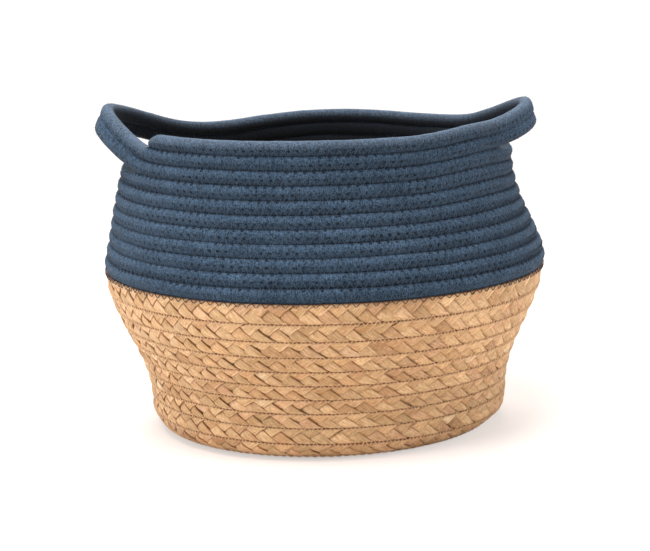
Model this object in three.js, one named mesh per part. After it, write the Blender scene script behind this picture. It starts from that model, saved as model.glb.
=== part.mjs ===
// A round storage basket: a flat plait of natural fibre is wound and sewn into the base and
// the lower wall, and a soft cotton rope is wound on into the upper wall, the rim and two handles.
// Millimetres, +Z up, the origin on the floor under the middle of the base, the front at -Y.

import * as THREE from 'three';

// Driving dimensions of the wound wall, measured to the middle of the wall's thickness
const rimRadius = 126.6;
const shoulderRadius = 146.5;
const footRadius = 119;
const rimHeight = 207.8;
const shoulderHeight = 112;
const footCornerRadius = 14;

// How the outline swells from the foot to the shoulder and narrows again to the rim
const bellyPower = 1.1;
const neckRoundPower = 1.3;
const neckFlowPower = 2.4;

// The navy rope
const ropeDiameter = 8.6;
const rowGap = 0.5;

// The soft wall sags at the back: every row lies this much lower there on the outline
const backSag = 2;
const backWave = 5;

// Between the shoulder and the rim the neck leans this far to the left
const neckLean = 4;

// The natural plait, wide at the shoulder and narrow at the foot
const plaitThickness = 6.4;
const shoulderPlaitWidth = 12.6;
const footPlaitWidth = 9.1;
const basePlaitWidth = 10.5;
const plaitCatchUp = 2;
const plaitTipWidth = 6;
const centreHoleRadius = 2.2;

// The sewing threads
const ropeThreadDiameter = 1.2;
const plaitThreadDiameter = 1.1;
const seamClearance = 0.3;

// Pieces that meet end to end keep this gap
const endGap = 0.3;

// Counts of the winding: turns are counted from the rope's end on the rim, downwards
const stepsPerTurn = 24;
const handleStepsPerTurn = 96;
const ropeEndAngle = 210;
const firstWallTurn = 2;
const ropeStartTurn = 10 + 2 / 3;
const catchUpTurns = 0.3;
const unsewnTurns = 2;
const fullTurn = 360;

// Nearer the middle of the base than this radius, the winding has fewer steps
const coarseRadius = 50;
const centreStepsPerTurn = 12;

// The handles: the two rope rows nearest the rim rise and lean outwards there
const rightHandleLift = 12;
const rightHandleFlare = 13.5;
const leftHandleLift = 22;
const leftHandleFlare = 15.5;
const handleLean = 2.6;
const rightWallPull = 3.5;
const leftWallPull = 4;
const handleRisePower = 1.2;
const handleRows = 2;

// Each handle's middle, and the angles over which it rises and is unsewn from the wall
const handles = [
  {
    name: 'right',
    turn: 5 / 12,
    lift: rightHandleLift,
    flare: rightHandleFlare,
    pull: rightWallPull,
    riseAngles: [37, 38],
    openAngles: [30, 30],
  },
  {
    name: 'left',
    turn: 11 / 12,
    lift: leftHandleLift,
    flare: leftHandleFlare,
    pull: leftWallPull,
    riseAngles: [50, 34],
    openAngles: [45, 30],
  },
];

// Each handle also pulls up the wall under its lower foot, less and less down the wall
const pullAngle = -35;
const pullHalfAngle = 30;
const pullTurns = 5;

// Materials
const ropeCloth = new THREE.MeshStandardMaterial({ color: 0x435365, roughness: 0.95, metalness: 0 });
const plaitStraw = new THREE.MeshStandardMaterial({ color: 0xc4976e, roughness: 0.8, metalness: 0 });
const navyThread = new THREE.MeshStandardMaterial({ color: 0x1f2b3a, roughness: 0.9, metalness: 0 });
const strawThread = new THREE.MeshStandardMaterial({ color: 0xb08a62, roughness: 0.9, metalness: 0 });

const radians = THREE.MathUtils.degToRad;
const smooth = (share) => THREE.MathUtils.smoothstep(share, 0, 1);
const bell = (offset, halfWidth) => (
  Math.abs(offset) < halfWidth ? Math.cos((Math.PI / 2) * (offset / halfWidth)) ** 2 : 0
);

// The outline of the wall, from the rim down to the floor and in to the middle of the base
function makeOutline() {
  const samplesPerStretch = 160;
  const baseHeight = plaitThickness / 2;
  const cornerHeight = baseHeight + footCornerRadius;
  const shares = Array.from({ length: samplesPerStretch }, (_, i) => i / samplesPerStretch);
  const neck = shares.map((share) => {
    const bulge = (1 - (1 - share) ** neckRoundPower) ** neckFlowPower;
    return new THREE.Vector2(
      rimRadius + (shoulderRadius - rimRadius) * bulge,
      rimHeight - (rimHeight - shoulderHeight) * share,
    );
  });
  const belly = shares.map((share) => {
    const bulge = Math.sin((Math.PI / 2) * (1 - share) ** bellyPower) ** 2;
    return new THREE.Vector2(
      footRadius + (shoulderRadius - footRadius) * bulge,
      shoulderHeight - (shoulderHeight - cornerHeight) * share,
    );
  });
  const corner = shares.map((share) => new THREE.Vector2(
    footRadius - footCornerRadius * (1 - Math.cos((Math.PI / 2) * share)),
    cornerHeight - footCornerRadius * Math.sin((Math.PI / 2) * share),
  ));
  const base = [
    new THREE.Vector2(footRadius - footCornerRadius, baseHeight),
    new THREE.Vector2(0, baseHeight),
  ];
  const points = [...neck, ...belly, ...corner, ...base];
  const lengths = [0];
  for (let i = 1; i < points.length; i++) {
    lengths.push(lengths[i - 1] + points[i].distanceTo(points[i - 1]));
  }
  return {
    points,
    lengths,
    total: lengths.at(-1),
    shoulder: lengths[samplesPerStretch],
    cornerStart: lengths[2 * samplesPerStretch],
    cornerEnd: lengths[3 * samplesPerStretch],
  };
}

const outline = makeOutline();

// Radius, height and outward direction on the outline, a given length below the rim
function outlineAt(length) {
  const { points, lengths } = outline;
  let i = lengths.findIndex((far) => far > length) - 1;
  if (i < 0) i = length < 0 ? 0 : points.length - 2;
  const along = points[i + 1].clone().sub(points[i]).normalize();
  const at = points[i].clone().addScaledVector(along, length - lengths[i]);
  return { radius: at.x, height: at.y, outX: -along.y, outZ: along.x };
}

// Where the strip's upper edge lies, as a length below the rim, one entry for each step.
// One turn on, the same line is the strip's lower edge.
const ropePitch = ropeDiameter + rowGap;

function plaitPitch(length) {
  if (length > outline.cornerStart) return basePlaitWidth + rowGap;
  const share = (length - outline.shoulder) / (outline.cornerStart - outline.shoulder);
  return shoulderPlaitWidth + (footPlaitWidth - shoulderPlaitWidth) * Math.max(0, share) + rowGap;
}

function makeEdges() {
  const firstPlaitTurn = ropeStartTurn + 1;
  const edges = [0];
  while (edges.at(-1) < outline.total) {
    const turn = edges.length / stepsPerTurn;
    const below = turn - firstPlaitTurn;
    const last = edges.at(-1);
    if (below <= 0) {
      edges.push(last + ropePitch / stepsPerTurn);
    } else {
      const before = Math.max(0, below - 1 / stepsPerTurn);
      const caughtUp = smooth(below / catchUpTurns) - smooth(before / catchUpTurns);
      edges.push(last + plaitPitch(last) / stepsPerTurn + plaitCatchUp * caughtUp);
    }
  }
  return edges;
}

const edges = makeEdges();
const innermostEdge = outline.total - centreHoleRadius;

function edgeAt(turn) {
  const step = THREE.MathUtils.clamp(turn * stepsPerTurn, 0, edges.length - 1);
  const low = Math.min(Math.floor(step), edges.length - 2);
  return THREE.MathUtils.lerp(edges[low], edges[low + 1], step - low);
}

// How far the handles lift the strip, carry it outwards and tilt it at a turn
function handleShift(turn) {
  let lift = 0;
  let flare = 0;
  let tilt = 0;
  for (const handle of handles) {
    const offset = turn - handle.turn;
    const row = Math.round(offset);
    const angle = (offset - row) * fullTurn;
    const [riseBefore, riseAfter] = handle.riseAngles;
    if (row < handleRows) {
      const rise = bell(angle, angle < 0 ? riseBefore : riseAfter) ** handleRisePower;
      lift += handle.lift * rise;
      flare += (handle.flare + handleLean * Math.max(0, row)) * rise;
      tilt += Math.atan2(handleLean * rise, ropePitch);
    }
    const depth = Math.max(0, turn - firstWallTurn) / pullTurns;
    lift += handle.pull * bell(angle - pullAngle, pullHalfAngle) * Math.max(0, 1 - depth);
  }
  return { lift, flare, tilt };
}

// Where a point of the strip lies on the outline, sagging at the back of the wall
function sagging(length, angle) {
  const back = Math.max(0, Math.sin(angle)) ** 2;
  const wave = Math.sin(angle) > 0 ? Math.sin(2 * angle) ** 2 : 0;
  const fade = Math.min(1, (outline.total - length) / (outline.total - outline.cornerStart));
  return length + (backSag * back + backWave * wave) * fade;
}

const neckMiddle = (rimHeight + shoulderHeight) / 2;

// The middle of the strip at a turn, and its outward direction there
function stripAt(turn) {
  const angle = radians(ropeEndAngle + fullTurn * turn);
  const upper = sagging(edgeAt(turn), angle);
  const lower = sagging(Math.min(edgeAt(turn + 1), innermostEdge), angle);
  const at = outlineAt((upper + lower) / 2);
  const { lift, flare, tilt } = handleShift(turn);
  const radial = new THREE.Vector3(Math.cos(angle), Math.sin(angle), 0);
  const centre = radial.clone().multiplyScalar(at.radius + flare);
  centre.x -= neckLean * bell(at.height - neckMiddle, rimHeight - neckMiddle);
  centre.z = at.height + lift;
  const slope = Math.atan2(at.outZ, at.outX) + tilt;
  const out = radial.clone().multiplyScalar(Math.cos(slope));
  out.z = Math.sin(slope);
  const down = radial.clone().multiplyScalar(Math.sin(slope));
  down.z = -Math.cos(slope);
  return { centre, out, down, width: lower - upper - rowGap };
}

// A section square to the path: its width runs along the wall, its thickness through it
function frameAt(pathAt, turn) {
  const nudge = 1 / fullTurn;
  const tangent = pathAt(turn + nudge).centre.sub(pathAt(turn - nudge).centre).normalize();
  const { centre, out, width } = pathAt(turn);
  out.addScaledVector(tangent, -out.dot(tangent)).normalize();
  const along = new THREE.Vector3().crossVectors(tangent, out);
  return { centre, out, along, tangent, width };
}

// Corner points of a strip's section: pointed where rows meet, flat inside and outside
function stripSection(frame, thickness) {
  const halfWidth = frame.width / 2;
  const halfThickness = thickness / 2;
  const corners = [
    [1, 0], [1 / 2, 1], [-1 / 2, 1], [-1, 0], [-1 / 2, -1], [1 / 2, -1],
  ];
  return corners.map(([across, through]) => {
    const corner = frame.centre.clone();
    corner.addScaledVector(frame.along, halfWidth * across);
    corner.addScaledVector(frame.out, halfThickness * through);
    corner.z = Math.max(0, corner.z);
    return corner;
  });
}

function threadSection(frame, diameter) {
  const sides = 3;
  return Array.from({ length: sides }, (_, i) => {
    const angle = (i / sides) * 2 * Math.PI;
    const corner = frame.centre.clone();
    corner.addScaledVector(frame.out, (-diameter / 2) * Math.cos(angle));
    corner.addScaledVector(frame.along, (diameter / 2) * Math.sin(angle));
    return corner;
  });
}

// One closed body through a row of sections
function bodyThrough(sections) {
  const sides = sections[0].length;
  const positions = sections.flat().flatMap((corner) => corner.toArray());
  const faces = [];
  for (let i = 0; i + 1 < sections.length; i++) {
    for (let j = 0; j < sides; j++) {
      const here = i * sides + j;
      const beside = i * sides + ((j + 1) % sides);
      faces.push(here, here + sides, beside);
      faces.push(beside, here + sides, beside + sides);
    }
  }
  const last = (sections.length - 1) * sides;
  for (let j = 1; j + 1 < sides; j++) {
    faces.push(0, j, j + 1);
    faces.push(last, last + j + 1, last + j);
  }
  const geometry = new THREE.BufferGeometry();
  geometry.setAttribute('position', new THREE.Float32BufferAttribute(positions, 3));
  geometry.setIndex(faces);
  geometry.computeVertexNormals();
  return geometry;
}

// The turns of a stretch of the winding, in even steps
function turnsAlong(fromTurn, toTurn, perTurn) {
  const steps = Math.round((toTurn - fromTurn) * perTurn);
  return Array.from({ length: steps + 1 }, (_, i) => fromTurn + i / perTurn);
}

// Frames along a stretch of the winding, its two ends drawn back by half the end gap
function framesAlong(pathAt, turns) {
  const frames = turns.map((turn) => frameAt(pathAt, turn));
  frames[0].centre.addScaledVector(frames[0].tangent, endGap / 2);
  frames.at(-1).centre.addScaledVector(frames.at(-1).tangent, -endGap / 2);
  return frames;
}

const group = new THREE.Group();

function addPiece(name, geometry, material) {
  const mesh = new THREE.Mesh(geometry, material);
  mesh.name = name;
  group.add(mesh);
}

// The least distance between surface points of a coil that lie more than half a turn apart
function leastGapToItself(sections, turns) {
  const points = [];
  sections.forEach((section, i) => {
    const next = sections[i + 1];
    section.forEach((corner, j) => {
      points.push({ turn: turns[i], at: corner });
      if (next) points.push({ turn: turns[i], at: corner.clone().lerp(next[j], 1 / 2) });
    });
  });
  let least = Infinity;
  for (const a of points) {
    for (const b of points) {
      const apart = b.turn - a.turn;
      if (apart > 1 / 2 && apart < 2) least = Math.min(least, a.at.distanceTo(b.at));
    }
  }
  return least;
}

function addStrip(name, turns, thickness, material) {
  const frames = framesAlong(stripAt, turns);
  const sections = frames.map((frame) => stripSection(frame, thickness));
  addPiece(name, bodyThrough(sections), material);
  if (turns.at(-1) - turns[0] > 1) {
    const gap = leastGapToItself(sections, turns).toFixed(2);
    console.log(`${name}: least gap to itself ${gap} mm`);
  }
}

// A thread lies in the outer groove between the row at a turn and the row one turn on
function seamPath(thickness, diameter) {
  return (turn) => {
    const above = stripAt(turn);
    const below = stripAt(turn + 1);
    const upperEdge = above.centre.clone().addScaledVector(above.down, above.width / 2);
    const lowerEdge = below.centre.clone().addScaledVector(below.down, -below.width / 2);
    const centre = upperEdge.lerp(lowerEdge, 1 / 2);
    const out = above.out.clone().add(below.out).normalize();
    const halfFlat = Math.max(above.width, below.width) / 4;
    const slope = Math.hypot(thickness / 2, halfFlat);
    const reach = (diameter / 2 + seamClearance) * slope - (thickness / 2) * (rowGap / 2);
    centre.addScaledVector(out, reach / halfFlat);
    return { centre, out, width: diameter };
  };
}

function addThread(name, turns, thickness, diameter, material) {
  const frames = framesAlong(seamPath(thickness, diameter), turns);
  const sections = frames.map((frame) => threadSection(frame, diameter));
  addPiece(name, bodyThrough(sections), material);
}

// Turns where the pieces of the winding meet, each on a whole step
const [[rightFrom, rightTo], [leftFrom, leftTo]] = handles.map((handle) => [
  handle.turn - handle.openAngles[0] / fullTurn,
  handle.turn + handle.openAngles[1] / fullTurn,
]);

// The last turn, counted in whole steps, where the strip's upper edge is above a length
function lastTurnAbove(length, fromTurn, perTurn) {
  let steps = 0;
  while (edgeAt(fromTurn + (steps + 1) / perTurn) < length) steps += 1;
  return fromTurn + steps / perTurn;
}

const baseStartTurn = lastTurnAbove(outline.cornerEnd, ropeStartTurn, stepsPerTurn);
const coarseEdge = outline.total - coarseRadius;
const coarseTurn = lastTurnAbove(coarseEdge, baseStartTurn, stepsPerTurn);
const baseEndTurn = lastTurnAbove(innermostEdge - plaitTipWidth, coarseTurn, centreStepsPerTurn);
const unsewnTurn = baseEndTurn - unsewnTurns;

// The base's turns: fewer steps near its middle
const outerBaseTurns = turnsAlong(baseStartTurn, coarseTurn, stepsPerTurn);
const innerBaseTurns = turnsAlong(coarseTurn, baseEndTurn, centreStepsPerTurn);
const sewnInnerTurns = turnsAlong(coarseTurn, unsewnTurn, centreStepsPerTurn);
const baseTurns = [...outerBaseTurns, ...innerBaseTurns.slice(1)];
const sewnBaseTurns = [...outerBaseTurns, ...sewnInnerTurns.slice(1)];

// The plait: base and lower wall
const plaitWallTurns = turnsAlong(ropeStartTurn, baseStartTurn, stepsPerTurn);
addStrip('base_plait_coil', baseTurns, plaitThickness, plaitStraw);
addStrip('wall_plait_coil', plaitWallTurns, plaitThickness, plaitStraw);

// The rope: upper wall, rim and handles
const ropeWallTurns = turnsAlong(firstWallTurn, ropeStartTurn, stepsPerTurn);
addStrip('wall_rope_coil', ropeWallTurns, ropeDiameter, ropeCloth);
for (const [row, place] of ['upper', 'lower'].entries()) {
  const front = turnsAlong(row, row + rightFrom, stepsPerTurn);
  const right = turnsAlong(row + rightFrom, row + rightTo, handleStepsPerTurn);
  const back = turnsAlong(row + rightTo, row + leftFrom, stepsPerTurn);
  const left = turnsAlong(row + leftFrom, row + leftTo, handleStepsPerTurn);
  addStrip(`rim_rope_front_${place}`, front, ropeDiameter, ropeCloth);
  addStrip(`right_handle_rope_${place}`, right, ropeDiameter, ropeCloth);
  addStrip(`rim_rope_back_${place}`, back, ropeDiameter, ropeCloth);
  addStrip(`left_handle_rope_${place}`, left, ropeDiameter, ropeCloth);
}

// The threads, each in the groove under the row that it is named for
const plaitSeam = [plaitThickness, plaitThreadDiameter, strawThread];
const ropeSeam = [ropeDiameter, ropeThreadDiameter, navyThread];
const plaitSeamTurns = turnsAlong(ropeStartTurn, baseStartTurn - 1, stepsPerTurn);
const joiningTurns = turnsAlong(ropeStartTurn - 1, ropeStartTurn, stepsPerTurn);
const ropeSeamTurns = turnsAlong(firstWallTurn, ropeStartTurn - 1, stepsPerTurn);
addThread('base_seam_thread', sewnBaseTurns, ...plaitSeam);
addThread('wall_plait_seam_thread', plaitSeamTurns, ...plaitSeam);
addThread('joining_seam_thread', joiningTurns, ...ropeSeam);
addThread('wall_rope_seam_thread', ropeSeamTurns, ...ropeSeam);
for (const [row, place] of ['upper', 'lower'].entries()) {
  const front = turnsAlong(row, row + rightFrom, stepsPerTurn);
  const back = turnsAlong(row + rightTo, row + leftFrom, stepsPerTurn);
  addThread(`rim_front_seam_thread_${place}`, front, ...ropeSeam);
  addThread(`rim_back_seam_thread_${place}`, back, ...ropeSeam);
}
const rightTurns = turnsAlong(rightFrom, rightTo, handleStepsPerTurn);
const leftTurns = turnsAlong(leftFrom, leftTo, handleStepsPerTurn);
addThread('right_handle_seam_thread', rightTurns, ...ropeSeam);
addThread('left_handle_seam_thread', leftTurns, ...ropeSeam);

export default group;
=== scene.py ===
"""Blender scene of the storage basket: knitted rope, plaited fibre and zigzag stitches.

The winding is worked out in millimetres, and its meshes are made in metres. Turns count down the
winding from the rope's end at the rim. Lengths run from the rim down the wall and in to the middle
of the base.
"""

import math

import bpy
import numpy as np
from mathutils import Matrix, Vector


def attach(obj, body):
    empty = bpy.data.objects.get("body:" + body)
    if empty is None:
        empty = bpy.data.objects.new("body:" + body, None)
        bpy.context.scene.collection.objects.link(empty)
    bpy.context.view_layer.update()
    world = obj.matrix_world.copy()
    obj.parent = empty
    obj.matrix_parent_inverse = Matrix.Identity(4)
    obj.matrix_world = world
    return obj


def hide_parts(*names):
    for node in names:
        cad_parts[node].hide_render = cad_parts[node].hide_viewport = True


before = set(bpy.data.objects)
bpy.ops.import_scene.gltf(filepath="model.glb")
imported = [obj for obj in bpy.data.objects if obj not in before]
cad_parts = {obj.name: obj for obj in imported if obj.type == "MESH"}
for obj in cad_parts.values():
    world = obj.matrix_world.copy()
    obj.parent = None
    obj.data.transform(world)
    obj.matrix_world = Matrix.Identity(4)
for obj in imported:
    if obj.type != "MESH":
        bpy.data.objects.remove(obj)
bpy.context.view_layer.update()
scene = bpy.context.scene

MM = 0.001
MM_PER_CM = 10

# The winding, the same values as in the part's source, in millimetres
RIM_RADIUS = 126.6
SHOULDER_RADIUS = 146.5
FOOT_RADIUS = 119.0
RIM_HEIGHT = 207.8
SHOULDER_HEIGHT = 112.0
FOOT_CORNER_RADIUS = 14.0
BELLY_POWER = 1.1
NECK_ROUND_POWER = 1.3
NECK_FLOW_POWER = 2.4
OUTLINE_STEPS = 160
ROPE_DIAMETER = 8.6
ROW_GAP = 0.5
BACK_SAG = 2.0
BACK_WAVE = 5.0
NECK_LEAN = 4.0
PLAIT_THICKNESS = 6.4
SHOULDER_PLAIT_WIDTH = 12.6
FOOT_PLAIT_WIDTH = 9.1
BASE_PLAIT_WIDTH = 10.5
PLAIT_CATCH_UP = 2.0
PLAIT_TIP_WIDTH = 6.0
CENTRE_HOLE_RADIUS = 2.2
COARSE_RADIUS = 50.0
STEPS_PER_TURN = 24
CENTRE_STEPS_PER_TURN = 12
ROPE_END_ANGLE = 210.0
FIRST_WALL_TURN = 2.0
ROPE_START_TURN = 10 + 2 / 3
CATCH_UP_TURNS = 0.3
UNSEWN_TURNS = 2.0
# The right and the left handle, with the angles before and after their middles
HANDLES = (
    {"turn": 5 / 12, "lift": 12, "flare": 13.5, "pull": 3.5, "rise": (37, 38), "open": (30, 30)},
    {"turn": 11 / 12, "lift": 22, "flare": 15.5, "pull": 4, "rise": (50, 34), "open": (45, 30)},
)
HANDLE_LEAN = 2.6
HANDLE_RISE_POWER = 1.2
HANDLE_ROWS = 2
PULL_ANGLE = -35.0
PULL_HALF_ANGLE = 30.0
PULL_TURNS = 5.0
ROPE_PITCH = ROPE_DIAMETER + ROW_GAP
NECK_MIDDLE = (RIM_HEIGHT + SHOULDER_HEIGHT) / 2

# Only here: where the strands end and how small their coil gets in the middle of the base, how
# softly the wall's direction turns, and the steps in which turns are searched
HEART_RADIUS = 2.0
HEART_HOLE_RADIUS = 0.3
SOFT_REACH = 5.0
SOFT_SAMPLES = 9
HALF_DEGREE = 0.5 / 360
FINE_STEPS_PER_TURN = 360
UP = np.array([0.0, 0.0, 1.0])


def smooth(share):
    """A share from 0 to 1 with soft ends."""
    share = np.clip(share, 0.0, 1.0)
    return share * share * (3 - 2 * share)


def bell(offset, half_width):
    """1 in the middle, 0 from half the width onwards."""
    inside = np.abs(offset) < half_width
    return np.where(inside, np.cos(np.pi / 2 * offset / half_width) ** 2, 0.0)


def signed_power(values, power):
    return np.sign(values) * np.abs(values) ** power


def unit(vectors):
    return vectors / np.linalg.norm(vectors, axis=1)[:, None]


def lengths_along(points):
    """Length of a path from its first point to each of its points."""
    steps = np.linalg.norm(np.diff(points, axis=0), axis=1)
    return np.concatenate([[0.0], np.cumsum(steps)])


def make_outline():
    """The middle of the wall, from the rim down to the floor and in to the middle of the base."""
    shares = np.arange(OUTLINE_STEPS) / OUTLINE_STEPS
    base_height = PLAIT_THICKNESS / 2
    corner_height = base_height + FOOT_CORNER_RADIUS
    neck_bulge = (1 - (1 - shares) ** NECK_ROUND_POWER) ** NECK_FLOW_POWER
    neck = np.stack([
        RIM_RADIUS + (SHOULDER_RADIUS - RIM_RADIUS) * neck_bulge,
        RIM_HEIGHT - (RIM_HEIGHT - SHOULDER_HEIGHT) * shares,
    ], 1)
    belly_bulge = np.sin(np.pi / 2 * (1 - shares) ** BELLY_POWER) ** 2
    belly = np.stack([
        FOOT_RADIUS + (SHOULDER_RADIUS - FOOT_RADIUS) * belly_bulge,
        SHOULDER_HEIGHT - (SHOULDER_HEIGHT - corner_height) * shares,
    ], 1)
    corner = np.stack([
        FOOT_RADIUS - FOOT_CORNER_RADIUS * (1 - np.cos(np.pi / 2 * shares)),
        corner_height - FOOT_CORNER_RADIUS * np.sin(np.pi / 2 * shares),
    ], 1)
    base = np.array([[FOOT_RADIUS - FOOT_CORNER_RADIUS, base_height], [0.0, base_height]])
    return np.concatenate([neck, belly, corner, base])


OUTLINE = make_outline()
LENGTHS = lengths_along(OUTLINE)
TOTAL = LENGTHS[-1]
SHOULDER = LENGTHS[OUTLINE_STEPS]
CORNER_START = LENGTHS[2 * OUTLINE_STEPS]
CORNER_END = LENGTHS[3 * OUTLINE_STEPS]
INNERMOST_EDGE = TOTAL - CENTRE_HOLE_RADIUS
HEART_EDGE = TOTAL - HEART_HOLE_RADIUS


def outline_step(length):
    """The outline's step that each length falls on."""
    return np.clip(np.searchsorted(LENGTHS, length, side="right") - 1, 0, len(LENGTHS) - 2)


def outline_at(length):
    """Radius, height and outward direction a given length below the rim."""
    step = outline_step(length)
    along = unit(OUTLINE[step + 1] - OUTLINE[step])
    at = OUTLINE[step] + along * (length - LENGTHS[step])[:, None]
    # The direction is an even mix of those nearby, so that it turns softly
    offsets = np.linspace(-SOFT_REACH, SOFT_REACH, SOFT_SAMPLES)
    near = outline_step(np.clip(length[:, None] + offsets, 0, TOTAL))
    way = unit((OUTLINE[near + 1] - OUTLINE[near]).mean(1))
    return at[:, 0], at[:, 1], -way[:, 1], way[:, 0]


def plait_pitch(length):
    """Distance between two rows of the plait at a length below the rim."""
    if length > CORNER_START:
        return BASE_PLAIT_WIDTH + ROW_GAP
    share = max(0, (length - SHOULDER) / (CORNER_START - SHOULDER))
    return SHOULDER_PLAIT_WIDTH + (FOOT_PLAIT_WIDTH - SHOULDER_PLAIT_WIDTH) * share + ROW_GAP


def make_edges():
    """Length below the rim of the strip's upper edge, at every step of the winding."""
    edges = [0.0]
    while edges[-1] < TOTAL:
        below = len(edges) / STEPS_PER_TURN - ROPE_START_TURN - 1
        if below <= 0:
            edges.append(edges[-1] + ROPE_PITCH / STEPS_PER_TURN)
        else:
            before = max(0.0, below - 1 / STEPS_PER_TURN)
            caught_up = smooth(below / CATCH_UP_TURNS) - smooth(before / CATCH_UP_TURNS)
            pitch = plait_pitch(edges[-1]) / STEPS_PER_TURN
            edges.append(edges[-1] + pitch + PLAIT_CATCH_UP * caught_up)
    return np.array(edges)


EDGES = make_edges()


def edge_at(turn):
    """Length below the rim of the strip's upper edge at each turn."""
    return np.interp(turn * STEPS_PER_TURN, np.arange(len(EDGES)), EDGES)


def seen_from(handle, turn):
    """Row, angle from the handle's middle and half angle of its rise, at each turn."""
    offset = turn - handle["turn"]
    row = np.round(offset)
    angle = (offset - row) * 360
    return row, angle, np.where(angle < 0, *handle["rise"])


def handle_shift(turn):
    """How far the handles lift the strip and move it outwards, and how far they tilt it."""
    lift = np.zeros_like(turn)
    flare = np.zeros_like(turn)
    tilt = np.zeros_like(turn)
    pulled = np.maximum(0, 1 - np.maximum(0, turn - FIRST_WALL_TURN) / PULL_TURNS)
    for handle in HANDLES:
        row, angle, half = seen_from(handle, turn)
        rise = np.where(row < HANDLE_ROWS, bell(angle, half), 0.0) ** HANDLE_RISE_POWER
        lift += handle["lift"] * rise
        flare += (handle["flare"] + HANDLE_LEAN * np.maximum(0, row)) * rise
        tilt += np.arctan2(HANDLE_LEAN * rise, ROPE_PITCH)
        lift += handle["pull"] * bell(angle - PULL_ANGLE, PULL_HALF_ANGLE) * pulled
    return lift, flare, tilt


def sagging(length, angle):
    """A length below the rim, made longer where the wall sags at the back."""
    back = np.maximum(0, np.sin(angle)) ** 2
    wave = np.where(np.sin(angle) > 0, np.sin(2 * angle) ** 2, 0)
    fade = np.minimum(1, (TOTAL - length) / (TOTAL - CORNER_START))
    return length + (BACK_SAG * back + BACK_WAVE * wave) * fade


def row_edges(turn, innermost):
    """Angle of each turn, and the lengths below the rim of its row's upper and lower edges."""
    angle = np.radians(ROPE_END_ANGLE + 360 * turn)
    upper = sagging(edge_at(turn), angle)
    lower = sagging(np.minimum(edge_at(turn + 1), innermost), angle)
    return angle, upper, lower


def wall_place(angle, radius, height, lift):
    """Places on the wall, with the neck's lean, and their radial directions."""
    radial = np.stack([np.cos(angle), np.sin(angle), np.zeros_like(angle)], 1)
    place = radial * radius[:, None]
    place[:, 0] -= NECK_LEAN * bell(height - NECK_MIDDLE, RIM_HEIGHT - NECK_MIDDLE)
    place[:, 2] = height + lift
    return place, radial


def strip_at(turn):
    """Middle of the strip, its outward and downward directions, and its width, at each turn."""
    angle, upper, lower = row_edges(turn, INNERMOST_EDGE)
    radius, height, out_x, out_z = outline_at((upper + lower) / 2)
    lift, flare, tilt = handle_shift(turn)
    centre, radial = wall_place(angle, radius + flare, height, lift)
    slope = np.arctan2(out_z, out_x) + tilt
    out = radial * np.cos(slope)[:, None] + UP * np.sin(slope)[:, None]
    down = radial * np.sin(slope)[:, None] - UP * np.cos(slope)[:, None]
    return centre, out, down, lower - upper - ROW_GAP


def on_outline(turn, share, out_by, extra=0.0):
    """Places out_by off the curved wall, and its outward directions. A share of 0 is at the
    row's upper seam and 1 at its lower one."""
    angle, upper, lower = row_edges(turn, HEART_EDGE)
    radius, height, out_x, out_z = outline_at(upper + (lower - upper) * share + extra)
    lift, flare, _ = handle_shift(turn)
    place, radial = wall_place(angle, radius + flare, height, lift)
    out = unit(radial * out_x[:, None] + UP * out_z[:, None])
    return place + out * out_by[:, None], out


def frames_at(turn):
    """Square frames of the strip: centre, out, across (towards the rim), tangent and width."""
    tangent = unit(strip_at(turn + HALF_DEGREE)[0] - strip_at(turn - HALF_DEGREE)[0])
    centre, out, down, width = strip_at(turn)
    out = unit(out - tangent * np.sum(out * tangent, 1)[:, None])
    across = np.cross(out, tangent)
    across *= -np.sign(np.sum(across * down, 1))[:, None]
    return centre, out, across, tangent, width


def even_turns(from_turn, to_turn, step):
    """Turns from one to the other whose places lie about one step (mm) apart, and their lengths."""
    count = max(8, int((to_turn - from_turn) * FINE_STEPS_PER_TURN))
    fine = np.linspace(from_turn, to_turn, count)
    run = lengths_along(strip_at(fine)[0])
    lengths = np.linspace(0, run[-1], max(2, int(round(run[-1] / step))) + 1)
    return np.interp(lengths, run, fine), lengths


# One length scale for the whole winding, so that stitches and cells run on between pieces
RUN_FROM_TURN = -0.1
RUN_TO_TURN = 32
RUN_STEPS_PER_TURN = 180
RUN_TURNS = np.linspace(RUN_FROM_TURN, RUN_TO_TURN, RUN_TO_TURN * RUN_STEPS_PER_TURN)
RUN_LENGTHS = lengths_along(strip_at(RUN_TURNS)[0])


def run_at(turn):
    """Distance along the winding at each turn."""
    return np.interp(turn, RUN_TURNS, RUN_LENGTHS)


WAVER_TABLE_SIZE = 4096


def waver(values, height, wavelength, seed):
    """Smooth seeded noise, up to about the given height either way, along a list of lengths."""
    table = np.random.default_rng(seed).uniform(-1, 1, WAVER_TABLE_SIZE)
    place = values / wavelength
    low = np.floor(place).astype(int)
    share = smooth(place - low)
    first = table[low % WAVER_TABLE_SIZE]
    second = table[(low + 1) % WAVER_TABLE_SIZE]
    return height * (first * (1 - share) + second * share)


# Meshes

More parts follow.
